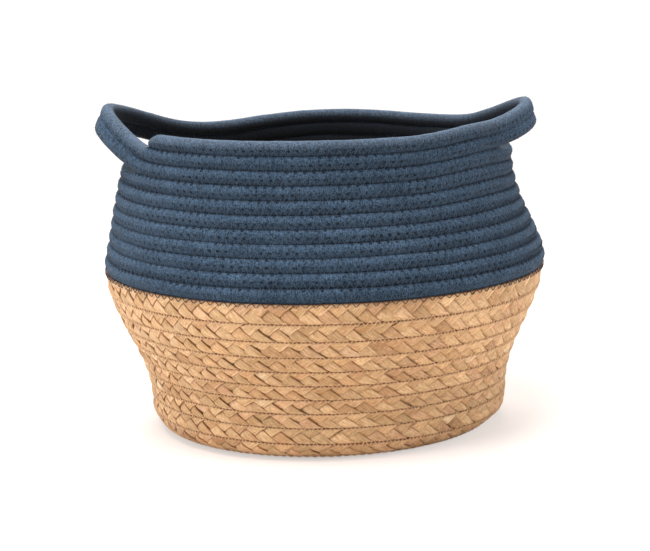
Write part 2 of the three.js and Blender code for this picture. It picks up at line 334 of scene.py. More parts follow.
def tube_mesh(name, rings, run, around, values=None):
    """A closed tube through rings (n, m, 3) in mm, with its length and girth as a UV map in cm."""
    count, sides = rings.shape[:2]
    corners = rings.reshape(-1, 3) * MM
    ends = np.stack([rings[0].mean(0), rings[-1].mean(0)]) * MM
    i, j = np.meshgrid(np.arange(count - 1), np.arange(sides), indexing="ij")
    i, j = i.ravel(), j.ravel()
    k = (j + 1) % sides
    quads = np.stack([i * sides + j, i * sides + k, (i + 1) * sides + k, (i + 1) * sides + j], 1)
    ring = np.arange(sides)
    after = (ring + 1) % sides
    hub = np.full(sides, count * sides)
    start = np.stack([hub, after, ring], 1)
    far = (count - 1) * sides
    end = np.stack([hub + 1, far + ring, far + after], 1)
    faces = quads.tolist() + start.tolist() + end.tolist()
    mesh = bpy.data.meshes.new(name)
    mesh.from_pydata(np.concatenate([corners, ends]).tolist(), [], faces)
    whole_girth = around[0] + (around[-1] - around[0]) * sides / (sides - 1)
    girth = np.concatenate([around, [whole_girth]])
    u = np.stack([run[i], run[i], run[i + 1], run[i + 1]], 1)
    v = np.stack([girth[j], girth[j + 1], girth[j + 1], girth[j]], 1)
    quad_uv = np.stack([u, v], 2).reshape(-1, 2)
    end_uv = np.repeat([[run[0], 0.0], [run[-1], 0.0]], sides * 3, axis=0)
    uv = (np.concatenate([quad_uv, end_uv]) / MM_PER_CM).ravel().astype(np.float32)
    mesh.uv_layers.new(name="length_girth").data.foreach_set("uv", uv)
    for label, per_ring in (values or {}).items():
        spread = np.repeat(per_ring, sides) if per_ring.ndim == 1 else per_ring.ravel()
        whole = np.concatenate([spread, [spread[0], spread[-1]]]).astype(np.float32)
        mesh.attributes.new(label, "FLOAT", "POINT").data.foreach_set("value", whole)
    mesh.polygons.foreach_set("use_smooth", np.ones(len(faces), bool))
    mesh.update()
    return mesh


def new_object(name, data):
    obj = bpy.data.objects.new(name, data)
    scene.collection.objects.link(obj)
    return obj


def add_piece(name, mesh, material, nodes):
    """Show a mesh as a piece that stands for the given CAD nodes."""
    piece = new_object(name, mesh)
    mesh.materials.append(material)
    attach(piece, "root")
    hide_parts(*nodes)


# Materials

class Nodes:
    """Short calls that add shader nodes and link them."""

    def __init__(self, tree):
        self.tree = tree

    def fill(self, node, inputs):
        """Link the sockets that are given, and set plain values on the node's own sockets."""
        for key, value in inputs.items():
            if isinstance(value, bpy.types.NodeSocket):
                self.tree.links.new(value, node.inputs[key])
            else:
                node.inputs[key].default_value = value

    def add(self, kind, inputs=None, **settings):
        node = self.tree.nodes.new(kind)
        for key, value in settings.items():
            setattr(node, key, value)
        self.fill(node, inputs or {})
        return node

    def numbered(self, kind, *values, **settings):
        """A new node whose inputs are given in their order."""
        return self.add(kind, dict(enumerate(values)), **settings)

    def math(self, operation, *values):
        return self.numbered("ShaderNodeMath", *values, operation=operation).outputs[0]

    def times(self, first, second):
        return self.math("MULTIPLY", first, second)

    def plus(self, first, second):
        return self.math("ADD", first, second)

    def vector(self, operation, *values):
        node = self.numbered("ShaderNodeVectorMath", *values, operation=operation)
        is_number = operation in ("DOT_PRODUCT", "DISTANCE")
        return node.outputs["Value" if is_number else "Vector"]

    def combine(self, x, y, z):
        return self.numbered("ShaderNodeCombineXYZ", x, y, z).outputs[0]

    def separate(self, vector):
        return self.numbered("ShaderNodeSeparateXYZ", vector).outputs

    def geometry(self, output):
        return self.add("ShaderNodeNewGeometry").outputs[output]

    def attribute(self, name):
        return self.add("ShaderNodeAttribute", attribute_name=name).outputs["Fac"]

    def length_girth(self):
        """How far along a tube and around it a point lies, in cm."""
        uv = self.add("ShaderNodeUVMap", uv_map="length_girth").outputs[0]
        return self.separate(uv)[:2]

    def noise(self, vector, scale, detail=2.0, roughness=0.5):
        inputs = {"Vector": vector, "Scale": scale, "Detail": detail, "Roughness": roughness}
        return self.add("ShaderNodeTexNoise", inputs).outputs["Fac"]

    def span(self, value, low, high, to_low=0.0, to_high=1.0):
        """A value from low to high, turned into one from to_low to to_high."""
        values = (value, low, high, to_low, to_high)
        return self.numbered("ShaderNodeMapRange", *values, clamp=True).outputs[0]

    def blend(self, factor, first, second, mode="MIX"):
        inputs = {0: factor, 6: first, 7: second}
        return self.add("ShaderNodeMix", inputs, data_type="RGBA", blend_type=mode).outputs[2]

    def multiply(self, colour, by):
        return self.blend(1.0, colour, by, "MULTIPLY")

    def bump(self, height, distance, strength=1.0):
        inputs = {"Height": height, "Distance": distance, "Strength": strength}
        return self.add("ShaderNodeBump", inputs).outputs[0]

    def ramp(self, value, stops):
        node = self.add("ShaderNodeValToRGB", {"Fac": value})
        elements = node.color_ramp.elements
        while len(elements) < len(stops):
            elements.new(0.5)
        for element, (place, colour) in zip(elements, stops):
            element.position = place
            element.color = colour
        return node.outputs[0]


def new_material(name):
    """A material, short calls for its nodes, and its shader."""
    material = bpy.data.materials.new(name)
    material.use_nodes = True
    tree = material.node_tree
    shader = next(node for node in tree.nodes if node.type == "BSDF_PRINCIPLED")
    return material, Nodes(tree), shader


def cleared_tree(block):
    """Short calls for the emptied node tree of a material or world."""
    block.use_nodes = True
    block.node_tree.nodes.clear()
    return Nodes(block.node_tree)


def linear(red, green, blue):
    """A colour written as 0-255 sRGB, as linear RGBA."""
    def channel(value):
        value /= 255
        return value / 12.92 if value <= 0.04045 else ((value + 0.055) / 1.055) ** 2.4
    return (channel(red), channel(green), channel(blue), 1.0)


NAVY_COTTON = (linear(41, 56, 71), linear(51, 67, 83))
COTTON_FLECK = linear(124, 138, 154)
COTTON_SHEEN = linear(150, 168, 190)
NEEDLE_HOLE_SHADE = linear(8, 14, 23)
ROPE_GROOVE_SHADE = linear(8, 14, 24)
ROPE_INSIDE_SHADE = linear(10, 10, 11)
RIM_TOP_HIGHLIGHT = linear(136, 128, 120)
LOOSE_FIBRES = (linear(62, 78, 96), linear(120, 134, 150))

STEM_TINTS = (
    (0.0, linear(181, 140, 102)),
    (0.2, linear(203, 163, 120)),
    (0.4, linear(213, 177, 134)),
    (0.55, linear(202, 168, 127)),
    (0.7, linear(210, 172, 131)),
    (0.85, linear(202, 161, 125)),
    (1.0, linear(223, 197, 159)),
)
STEM_STAIN = linear(166, 116, 76)
STEM_SPECK = linear(118, 74, 40)
STEM_FOLD_SHADE = linear(120, 60, 8)
STEM_GLINT = linear(240, 214, 176)
STEM_EDGE_SHADE = linear(122, 64, 10)
# The stems' colours are multiplied by these, from dark to pale
FIBRE_LINES = ((0.69, 0.61, 0.46, 1.0), (1.19, 1.23, 1.32, 1.0))
HAIR_LINES = ((0.74, 0.67, 0.55, 1.0), (1.22, 1.27, 1.36, 1.0))
LEG_SHADES = ((0.78, 0.75, 0.68, 1.0), (1.08, 1.08, 1.08, 1.0))

# The knit's courses along the rope and its wales around it, in millimetres
COURSE_PITCH = 1.3
WALE_PITCH = 2.2


def needle_holes(n, label):
    """1 in the needle holes of one seam: one hole a stitch, where the thread goes in."""
    phase = n.math("FRACT", n.attribute(label))
    from_hole = n.math("ABSOLUTE", n.math("SUBTRACT", phase, 0.5))
    from_line = n.math("ABSOLUTE", n.attribute(label + "_off"))
    along = n.span(from_hole, 0.11, 0.21, 1.0, 0.0)
    across = n.span(from_line, 0.4, 1.0, 1.0, 0.0)
    return n.times(along, across)


def rope_material():
    """Knitted cotton: courses, streaks, lint and needle holes, with painted shade and painted
    highlights.
    """
    material, n, shader = new_material("knitted_navy_cotton")
    length, girth = n.length_girth()
    place = n.geometry("Position")
    # Courses run around the rope, bent at each wale and broken up by noise
    arm = n.math("PINGPONG", n.times(girth, MM_PER_CM / WALE_PITCH), 0.5)
    course = n.times(length, MM_PER_CM / COURSE_PITCH)
    course = n.plus(course, n.times(arm, 0.8))
    course = n.plus(course, n.times(n.noise(place, 420.0), 2.2))
    loop = n.times(n.math("SINE", n.times(course, 2 * math.pi)), 0.5)
    streak_place = n.combine(length, n.times(girth, 0.36), n.times(length, 0.013))
    streak = n.span(n.noise(streak_place, 11.0, 2.0, 0.7), 0.3, 0.7, -1.0, 1.0)
    lint = n.span(n.noise(place, 900.0, 2.0, 0.7), 0.3, 0.7, -1.0, 1.0)
    knit = n.plus(n.times(loop, 0.3), n.times(streak, 0.42))
    knit = n.plus(knit, n.times(lint, 0.55))

    hole = n.math("MAXIMUM", needle_holes(n, "lower_stitch"), needle_holes(n, "upper_stitch"))
    hole = n.times(hole, n.span(n.noise(place, 70.0, 1.0), 0.4, 0.6, 0.3, 1.0))
    height = n.math("SUBTRACT", knit, n.times(hole, 3.0))

    patch = n.noise(place, 38.0, 3.0, 0.6)
    colour = n.blend(n.span(patch, 0.3, 0.7), *NAVY_COTTON)
    colour = n.multiply(colour, n.span(knit, -0.8, 0.8, 0.05, 2.1))
    fleck = n.noise(place, 1900.0, 2.0, 0.6)
    colour = n.blend(n.span(fleck, 0.6, 0.8, 0.0, 0.5), colour, COTTON_FLECK)
    # Painted shade darkens the needle holes
    colour = n.blend(n.times(hole, 0.85), colour, NEEDLE_HOLE_SHADE)
    # Painted shade darkens the grooves between the rows
    groove = n.span(n.attribute("groove"), 0.1, 1.0, 0.0, 0.92)
    colour = n.blend(groove, colour, ROPE_GROOVE_SHADE)

    # Painted shade makes the inner side of the wall nearly black
    normal = n.geometry("True Normal")
    radial = n.vector("NORMALIZE", n.vector("MULTIPLY", place, (1.0, 1.0, 0.0)))
    facing = n.vector("DOT_PRODUCT", normal, radial)
    rim_top = n.attribute("rim_top")
    inner_shade = n.span(facing, -0.75, -0.1, 0.94, 0.0)
    inner_shade = n.times(inner_shade, n.span(rim_top, 0.0, 1.0, 1.0, 0.2))
    colour = n.blend(inner_shade, colour, ROPE_INSIDE_SHADE)
    # Painted light and shade: sides that face up are paler, sides that face down darker
    rise = n.separate(normal)[2]
    colour = n.multiply(colour, n.span(rise, -0.6, 0.9, 0.72, 1.3))
    # Painted highlight makes the top of the rim paler
    colour = n.multiply(colour, n.span(rim_top, 0.0, 1.0, 1.0, 1.3))
    colour = n.blend(n.span(rim_top, 0.0, 1.0, 0.0, 0.1), colour, RIM_TOP_HIGHLIGHT)
    n.fill(shader, {
        "Base Color": colour,
        "Normal": n.bump(height, 0.0003),
        "Roughness": 0.95,
        "Specular IOR Level": 0.15,
        "Sheen Weight": 0.12,
        "Sheen Roughness": 0.45,
        "Sheen Tint": COTTON_SHEEN,
    })
    return material


def plait_material():
    """Dry stems: tint from stem to stem, fibre lines along each strand, specks, and painted shade and
    highlights at folds and edges.
    """
    material, n, shader = new_material("plaited_natural_fibre")
    length, girth = n.length_girth()
    place = n.geometry("Position")
    tint = n.attribute("tint")
    stretched = n.combine(n.times(length, 0.9), n.times(girth, 8.0), n.times(tint, 40.0))
    fibre = n.noise(stretched, 1.6, 4.0, 0.65)
    fine = n.combine(n.times(length, 3.0), n.times(girth, 24.0), n.times(tint, 17.0))
    hair = n.noise(fine, 1.8, 3.0, 0.6)

    colour = n.ramp(tint, STEM_TINTS)
    colour = n.multiply(colour, n.blend(n.span(fibre, 0.3, 0.7), *FIBRE_LINES))
    colour = n.multiply(colour, n.blend(n.span(hair, 0.3, 0.7), *HAIR_LINES))
    patch = n.noise(place, 90.0)
    colour = n.blend(n.span(patch, 0.5, 0.75, 0.0, 0.35), colour, STEM_STAIN)
    speck = n.noise(place, 1300.0, 1.0)
    colour = n.blend(n.span(speck, 0.62, 0.74, 0.0, 0.65), colour, STEM_SPECK)

    # Painted shade in the folds at the row's edges, painted highlights on some strand edges and painted
    # shade along the others, each patchy
    shade_patches = n.span(n.noise(place, 55.0), 0.36, 0.6, 0.45, 1.0)
    glint_patches = n.span(n.noise(place, 160.0), 0.45, 0.6, 0.1, 0.8)
    folded = n.times(n.span(n.attribute("strand_fold"), 0.4, 0.9, 0.0, 0.9), shade_patches)
    colour = n.blend(folded, colour, STEM_FOLD_SHADE)
    # Painted highlight on the forward edges of rising legs
    glint = n.times(n.span(n.attribute("strand_glint"), 0.7, 0.86, 0.0, 0.8), glint_patches)
    colour = n.blend(glint, colour, STEM_GLINT)
    # Painted shade along the strands' edges
    edge_shade = n.times(n.span(n.attribute("strand_edge"), 0.84, 1.0, 0.0, 0.85), shade_patches)
    colour = n.blend(edge_shade, colour, STEM_EDGE_SHADE)
    colour = n.multiply(colour, n.blend(n.attribute("shade"), *LEG_SHADES))
    n.fill(shader, {
        "Base Color": colour,
        "Normal": n.bump(n.plus(fibre, n.times(hair, 0.5)), 0.0005, 0.9),
        "Roughness": n.span(fibre, 0.3, 0.7, 0.72, 0.5),
        "Specular IOR Level": 0.35,
    })
    return material


def thread_material(name, dark, pale, roughness):
    """Twisted sewing thread: the twist as slanting bands in colour and bump."""
    material, n, shader = new_material(name)
    length, girth = n.length_girth()
    twist = n.plus(n.times(length, 8.0), n.times(girth, 9.0))
    ply = n.math("PINGPONG", twist, 0.5)
    patch = n.noise(n.geometry("Position"), 420.0)
    colour = n.blend(n.span(patch, 0.3, 0.7), dark, pale)
    colour = n.multiply(colour, n.span(ply, 0.0, 0.5, 0.7, 1.15))
    n.fill(shader, {
        "Base Color": colour,
        "Normal": n.bump(ply, 0.0002, 0.8),
        "Roughness": roughness,
    })
    return material


def fuzz_material():
    """Loose fibres, paler than the rope and different from place to place."""
    material, n, shader = new_material("loose_cotton_fibres")
    patch = n.noise(n.geometry("Position"), 300.0, 1.0)
    n.fill(shader, {
        "Base Color": n.blend(n.span(patch, 0.35, 0.65), *LOOSE_FIBRES),
        "Roughness": 0.9,
        "Specular IOR Level": 0.1,
    })
    return material


ROPE = rope_material()
FUZZ_COTTON = fuzz_material()
PLAIT = plait_material()
NAVY_THREAD = thread_material("navy_sewing_thread", linear(30, 44, 60), linear(54, 71, 90), 0.8)
DARK_THREAD = thread_material("dark_sewing_thread", linear(20, 23, 31), linear(34, 38, 48), 0.8)
STRAW_THREAD = thread_material("straw_sewing_thread", linear(206, 164, 120), linear(232, 196, 154), 0.7)

# Stitches: the rope's pitch, and the reach above and below the groove, in millimetres
ROPE_STITCH = 5.6
ROPE_REACH = (3.8, 1.2)
JOINING_REACH = (1.0, 2.5)
THREAD_SIDES = 5
FLOOR_CLEARANCE = 0.03
STITCH_STEPS = 10
STITCH_REACH_WAVER = (0.08, 7, 41)
STITCH_HEIGHT_WAVER = (0.08, 5, 42)

# The rope is pressed between its neighbours: 2 is a round section, more is squarer
ROPE_SQUARENESS = 2.5
STRAP_SQUARENESS = 7.0
STRAP_OVERLAP = 0.5
STRAP_GAIN = 1.6
STRAP_REACH = 1.1
SLOT_GAP = 3.0
ROPE_RING_STEP = 1.5
ROPE_SIDES = 18
ROPE_PRESSED_IN = 0.42
ROPE_FLATTENED = 0.15
SURFACE_INSET = 0.1
ROPE_END_TAPER = 13.0
ROPE_START_TAPER = 7.0
TAPER_TIP = 0.2
TAPER_DROP = 0.85
NO_STITCH = 99.0
HALF_STITCH = 0.5

# How the rope's width, thickness, depth and level waver: height, wavelength and seed
ROPE_WIDTH_WAVER = (0.08, 6, 11)
ROPE_THICKNESS_WAVER = (0.16, 7, 12)
ROPE_DEPTH_WAVER = (0.22, 19, 13)
ROPE_LEVEL_WAVER = (0.2, 33, 14)

# How deep the stitches draw a row in, and how that grows from just above its middle downwards
DRAWN_IN = 0.26
DRAWN_FROM = 0.15
DRAWN_STEEPNESS = 1.2

# Where the painted shade in the groove and the painted highlight on the rim's top begin, as shares of
# the rope's half width
GROOVE_FROM = 0.7
GROOVE_LOST_IN_STRAP = 0.85
RIM_TOP_FROM = 0.25


def drawn_in(share):
    """The stitches draw the lower half of each row in, on the outer side of the wall."""
    return 1 - DRAWN_IN * smooth(DRAWN_FROM - DRAWN_STEEPNESS * share)


def strap_share(turn):
    """0 on the wall, 1 where the two rows of a handle are sewn into one flat strap."""
    share = np.zeros_like(turn)
    for handle in HANDLES:
        row, angle, half = seen_from(handle, turn)
        sewn = smooth(STRAP_GAIN * bell(angle, half * STRAP_REACH))
        share += np.where(row < HANDLE_ROWS, sewn, 0.0)
    return np.clip(share, 0, 1)


def rope_surface(from_middle):
    """How far the rope's outer surface stands out, at a distance above the row's middle."""
    share = np.clip(from_middle / (ROPE_PITCH / 2), -1, 1)
    squared = (1 - np.abs(share) ** ROPE_SQUARENESS) ** (1 / ROPE_SQUARENESS)
    return (ROPE_DIAMETER / 2 - SURFACE_INSET) * squared * drawn_in(share)


# Loose cotton fibres, one for each ring of the rope, in millimetres
FUZZ_SEED = 900
FIBRE_INNER_LIMIT = -0.2
FIBRE_SPREAD = 0.7
FIBRE_STEEPNESS = (0.1, 0.8)
FIBRE_LENGTH_GAMMA = (3.0, 0.45)
FIBRE_LEAST_LENGTH = 0.5
FIBRE_ROOT_DEPTH = 0.15
FIBRE_ROOT_RADIUS = 0.07
FIBRE_BEND_RADIUS = 0.055
# Its two halves: how much they rise and lean, and their share of its length
LOWER_HALF = (1.0, 0.6, 0.55)
UPPER_HALF = (0.35, 1.0, 0.5)
FIBRE_SIDES = 3
FIBRE_POINTS = 2 * FIBRE_SIDES + 1


def grow_fuzz(rings, centre, shape_out, tangent, seed):
    """Roots, rise, lean and length of the loose fibres on one stretch of rope."""
    rng = np.random.default_rng(FUZZ_SEED + seed)
    count = len(rings)
    ring = rng.integers(1, count - 1, count)
    side = rng.choice(np.flatnonzero(shape_out > FIBRE_INNER_LIMIT), count)
    beside = rng.uniform(-FIBRE_SPREAD, FIBRE_SPREAD, count)[:, None]
    root = rings[ring, side] + tangent[ring] * beside
    normal = unit(rings[ring, side] - centre[ring])
    lean = unit(rng.normal(0, 1, (count, 3)))
    lean = unit(lean - normal * np.sum(lean * normal, 1)[:, None])
    steep = rng.uniform(*FIBRE_STEEPNESS, count)[:, None]
    length = rng.gamma(*FIBRE_LENGTH_GAMMA, count)[:, None] + FIBRE_LEAST_LENGTH
    return root - normal * FIBRE_ROOT_DEPTH, normal * steep, lean, length


def fibre_step(rise, lean, length, half):
    rise_share, lean_share, length_share = half
    return (rise_share * rise + lean_share * lean) * length * length_share


def fuzz_mesh(name, fibres):
    """Every fibre is a thin bent three-sided spike, closed at its root."""
    root, rise, lean, length = (np.concatenate(part) for part in zip(*fibres))
    middle = root + fibre_step(rise, lean, length, LOWER_HALF)
    tip = middle + fibre_step(rise, lean, length, UPPER_HALF)
    # Across the fibre; the second vector here only has to differ from the first
    flat = unit(np.cross(rise + lean, rise + 0.3 * lean + 0.01))
    deep = unit(np.cross(flat, rise + lean))
    points = []
    for place, radius in ((root, FIBRE_ROOT_RADIUS), (middle, FIBRE_BEND_RADIUS)):
        for side in range(FIBRE_SIDES):
            angle = 2 * math.pi * side / FIBRE_SIDES
            points.append(place + radius * (math.cos(angle) * flat + math.sin(angle) * deep))
    points.append(tip)
    corners = np.stack(points, 1).reshape(-1, 3) * MM
    faces = []
    for first in range(0, len(corners), FIBRE_POINTS):
        bend = first + FIBRE_SIDES
        faces.append((first + 2, first + 1, first))
        for j in range(FIBRE_SIDES):
            k = (j + 1) % FIBRE_SIDES
            faces.append((first + j, first + k, bend + k, bend + j))
            faces.append((bend + j, bend + k, bend + FIBRE_SIDES))
    mesh = bpy.data.meshes.new(name)
    mesh.from_pydata(corners.tolist(), [], faces)
    mesh.update()
    return mesh


def stretched_by(turns, neighbours):
    """Half of what the rows are drawn apart beyond their pitch, and 0 where a hand slot is open."""
    apart = np.linalg.norm(strip_at(turns)[0] - strip_at(neighbours)[0], axis=1) - ROPE_PITCH
    apart = np.maximum(apart, 0)
    return apart / 2 * smooth((SLOT_GAP - apart) / (SLOT_GAP / 2))


def rope_tube(name, from_turn, to_turn, tapers):
    """A stretch of rope and its loose fibres: rounded, pressed by its neighbours, and wavering."""
    turns, lengths = even_turns(from_turn, to_turn, ROPE_RING_STEP)
    centre, out, across, tangent, width = frames_at(turns)
    run = run_at(turns)
    half_across = width / 2 + ROW_GAP / 2 + ROPE_PRESSED_IN + waver(run, *ROPE_WIDTH_WAVER)
    half_through = ROPE_DIAMETER / 2 - ROPE_FLATTENED + waver(run, *ROPE_THICKNESS_WAVER)
    centre += out * waver(run, *ROPE_DEPTH_WAVER)[:, None]
    centre += across * waver(run, *ROPE_LEVEL_WAVER)[:, None]
    scale = np.ones_like(run)
    for taper, along in zip(tapers, (lengths, lengths[-1] - lengths)):
        if taper:
            scale *= TAPER_TIP + (1 - TAPER_TIP) * np.sqrt(np.clip(along / taper, 0, 1))
    if tapers[0]:
        centre -= across * ((1 - scale) * half_across * TAPER_DROP)[:, None]

    # The section, flat towards the other row where a handle's two rows make one strap
    angle = np.arange(ROPE_SIDES) / ROPE_SIDES * 2 * np.pi
    shape_across = signed_power(np.sin(angle), 2 / ROPE_SQUARENESS)
    shape_out = signed_power(np.cos(angle), 2 / ROPE_SQUARENESS)
    flat_out = signed_power(np.cos(angle), 2 / STRAP_SQUARENESS)
    top_row = (turns < 1)[:, None]
    strap = strap_share(turns)[:, None]
    facing_pair = np.clip(np.where(top_row, -1, 1) * shape_across, 0, 1)
    pressed = strap * smooth(2 * facing_pair)
    full_out = shape_out * (1 - pressed) + flat_out * pressed
    drawn = 1 - (1 - drawn_in(shape_across)) * (1 - strap)
    full_out = np.where(full_out > 0, full_out * drawn, full_out)

    # Rows that a handle draws apart are widened until they touch again
    bottom_row = (turns > ROPE_START_TURN - 1)[:, None]
    reach_up = np.where(top_row, 0.0, stretched_by(turns, turns - 1)[:, None])
    reach_down = np.where(bottom_row, 0.0, stretched_by(turns, turns + 1)[:, None])
    full_across = shape_across * half_across[:, None]
    full_across += reach_up * np.clip(shape_across, 0, 1)
    full_across += reach_down * np.clip(shape_across, -1, 0)
    full_across += STRAP_OVERLAP * strap * np.sign(full_across) * facing_pair
    rings = centre[:, None, :] + across[:, None, :] * (full_across * scale[:, None])[:, :, None]
    rings += out[:, None, :] * (full_out * (half_through * scale)[:, None])[:, :, None]

    # Distances from the two lines of needle holes on the outer side, in millimetres. The first
    # row has no stitches above it, and the joining seam below the last has its own thread.
    half = half_across.mean()
    inner_side = np.where(shape_out > 0, 0.0, NO_STITCH)
    lower_off = shape_across * half + (half - ROPE_REACH[0]) + inner_side
    upper_off = shape_across * half - (half - ROPE_REACH[1]) + inner_side
    groove = smooth((np.abs(shape_across) - GROOVE_FROM) / (1 - GROOVE_FROM))
    open_top = top_row & (shape_across > 0)
    # rim_top and groove mask the painted highlight on the rim's top and the painted shade in the
    # grooves
    values = {
        "rim_top": np.where(top_row, smooth(RIM_TOP_FROM + shape_across), 0.0),
        "groove": np.where(open_top, 0.0, groove * (1 - GROOVE_LOST_IN_STRAP * pressed)),
        "lower_stitch": run / ROPE_STITCH,
        "lower_stitch_off": lower_off + np.where(bottom_row, NO_STITCH, 0.0),
        "upper_stitch": run_at(turns - 1) / ROPE_STITCH + HALF_STITCH,
        "upper_stitch_off": upper_off + np.where(top_row, NO_STITCH, 0.0),
    }
    girth = angle * ROPE_DIAMETER / 2
    fibres = grow_fuzz(rings, centre, shape_out, tangent, int(run[0]))
    return tube_mesh(name, rings, run, girth, values), fibres


# The plait: three flat strands. Each leg of a strand runs straight across the row, over one
# strand and under the next, and is folded over at the row's edge. Lengths are in millimetres.
CELL_PITCH = 11.8
LEG_PITCH = 1.5 * CELL_PITCH
LEG_LENGTH = 21.3
LEG_BEND = 0.42
LEG_PARTS = 6
LEG_ARCH = 0.02
END_MARGIN = 4
STRAND_WIDTH_SHARE = 1.05
STRAND_HALF_THICKNESS = 1.25
STRAND_SWAY = 1.4
STRAND_GIRTH = 3.3
STRAND_SEED = 31
CROSSOVER = 0.42
FOLD_SHARE = 0.07
FOLD_MARK_SHARE = 0.13
TILT_SPREAD = 0.34
PROUD_SPREAD = 0.16
LENS_POWER = 6
LENS_ROUNDING = 0.4
LENS_CROWN = 0.12
LEG_SHARES = np.array([0, 0.015, 0.04, 0.07, 0.16, 0.3, 0.41, 0.46, 0.485,
                       0.515, 0.54, 0.59, 0.7, 0.84, 0.93, 0.96, 0.985])
OUTER_SHARES = np.array([-1, -0.96, -0.82, -0.4, 0, 0.4, 0.82, 0.96, 1])
INNER_SHARES = np.array([0.6, -0.6])

# How the strands' width, place, cells, arch and tint waver: height, wavelength and seed
STRAND_WIDTH_WAVER = (0.08, 17, 22)
STRAND_PLACE_WAVER = (0.8, 21, 24)
CELL_WAVER = (1.4, 47, 21)
LEG_ARCH_WAVER = (2.0, 26, 25)
TINT_WAVER = (0.05, 14, 33)
TINT_BETA = (2.0, 2.0)
# What keeps the three strands' wavers apart, in millimetres a strand
STRAND_WIDTH_SHIFT = 700
STRAND_PLACE_SHIFT = 900


def strand_tube(name, from_turn, to_turn, strand):
    """One strand of the plait, from fold to fold, as a closed flat tube."""
    from_run, to_run = run_at(from_turn), run_at(to_turn)
    start = (strand * CELL_PITCH) % LEG_PITCH
    parity = int(strand * CELL_PITCH // LEG_PITCH)
    first = math.floor((from_run - start) / LEG_PITCH) - 1
    last = math.ceil((to_run - start) / LEG_PITCH) + 1
    count = last - first
    legs = np.repeat(np.arange(first, last), len(LEG_SHARES))
    ring_share = np.tile(LEG_SHARES, count)
    middle = start + (legs + ring_share) * LEG_PITCH
    keep = (middle > from_run - END_MARGIN) & (middle < to_run + END_MARGIN)
    legs, ring_share, middle = legs[keep], ring_share[keep], middle[keep]

    # Rings turn with the edge of the strand that this one dips under, halfway along the leg
    across_share = np.concatenate([OUTER_SHARES, INNER_SHARES])
    turned = (np.sin(np.pi * ring_share) ** 2)[:, None]
    leg_share = ring_share[:, None] - across_share / LEG_PARTS * turned
    width_waver = waver(middle + STRAND_WIDTH_SHIFT * strand, *STRAND_WIDTH_WAVER)
    wide = STRAND_WIDTH_SHARE * (1 + width_waver)
    shift = waver(middle + STRAND_PLACE_SHIFT * strand, *STRAND_PLACE_WAVER)
    along = start + (legs[:, None] + leg_share) * LEG_PITCH + shift[:, None]
    along += across_share * (wide * CELL_PITCH / 2)[:, None]
    along += waver(along, *CELL_WAVER)
    along = np.clip(along, from_run, to_run)
    turns = np.interp(along.ravel(), RUN_LENGTHS, RUN_TURNS)

    # Across the row: straight legs, slightly bent and arched, up and down by turns
    rising = ((legs + parity) % 2 == 1)[:, None]
    bent = leg_share - LEG_BEND * np.sin(2 * np.pi * leg_share) / (2 * np.pi)
    row_share = np.where(rising, 1 - bent, bent)
    arch = LEG_ARCH * np.sin(np.pi * row_share)
    row_share -= arch * (1 + waver(along, *LEG_ARCH_WAVER))

    # Through the row: over the other strands and under them, and flat on itself at a fold
    order = LEG_PARTS * (1 - ring_share)[:, None] - across_share * (1 - turned)
    rise = np.tanh((LEG_PARTS / 2 - order) / CROSSOVER)
    to_fold = np.clip(np.minimum(leg_share, 1 - leg_share) / FOLD_SHARE, 0, 1)
    fold = np.sqrt(np.clip(1 - (1 - to_fold) ** 2, 0, 1))
    rng = np.random.default_rng(STRAND_SEED + strand)
    tilt = rng.normal(0, TILT_SPREAD, count)[legs - first][:, None] * turned
    proud = rng.normal(0, PROUD_SPREAD, count)[legs - first][:, None] * turned
    sign = np.repeat([1.0, -1.0], [len(OUTER_SHARES), len(INNER_SHARES)])
    lens = (1 - np.abs(across_share) ** LENS_POWER) ** LENS_ROUNDING
    lens += LENS_CROWN * (1 - across_share ** 2)
    through = STRAND_SWAY * rise * fold + proud + tilt * across_share
    through += sign * STRAND_HALF_THICKNESS * lens
    rings = on_outline(turns, row_share.ravel(), through.ravel())[0].reshape(*along.shape, 3)
    rings[:, :, 2] = np.maximum(rings[:, :, 2], FLOOR_CLEARANCE)

    height, wavelength, seed = TINT_WAVER
    tint = rng.beta(*TINT_BETA, count)[legs - first]
    tint += waver(middle, height, wavelength, seed + strand)
    to_edge = np.minimum(row_share, 1 - row_share)
    values = {
        "tint": np.clip(tint, 0, 1),
        "shade": rng.uniform(0, 1, count)[legs - first],
        # strand_edge, strand_glint and strand_fold mask the painted shade and painted highlights
        "strand_edge": np.broadcast_to(np.abs(across_share), along.shape),
        "strand_glint": np.where(rising, across_share, 0.0),
        "strand_fold": 1 - np.clip(to_edge / FOLD_MARK_SHARE, 0, 1),
    }
    girth = np.concatenate([OUTER_SHARES, 2 - INNER_SHARES]) * STRAND_GIRTH
    return tube_mesh(name, rings, (legs + ring_share) * LEG_LENGTH, girth, values)


# Stitch heights above the middle of the wall, in millimetres. Near a stitch's ends, where share
# is 1, the thread sinks in.
THREAD_LIFT = 0.1
TAUT_HEIGHT = 2.5
PLAIT_STITCH_HEIGHT = 2.85
PLAIT_STITCH_RISE = 0.35
JOINING_STITCH_HEIGHT = 2.7
JOINING_STITCH_RISE = 0.7
# How deep it sinks, and from which share
ROPE_SINK = (1.6, 0.84)
PLAIT_SINK = (1.6, 0.86)
JOINING_SINK = (1.4, 0.85)


def sinking(share, depth, from_share):
    return depth * smooth((share - from_share) / (1 - from_share))


def rope_stitch_height(away, share):
    """The thread lies on the rope and is taut over the groove."""
    from_middle = np.where(away < 0, -away - ROPE_PITCH / 2, ROPE_PITCH / 2 - away)
    on_rope = rope_surface(from_middle) + THREAD_LIFT
    return np.maximum(on_rope, TAUT_HEIGHT) - sinking(share, *ROPE_SINK)


def plait_stitch_height(away, share):
    """The thread is lowest over the groove."""
    return PLAIT_STITCH_HEIGHT + PLAIT_STITCH_RISE * share - sinking(share, *PLAIT_SINK)


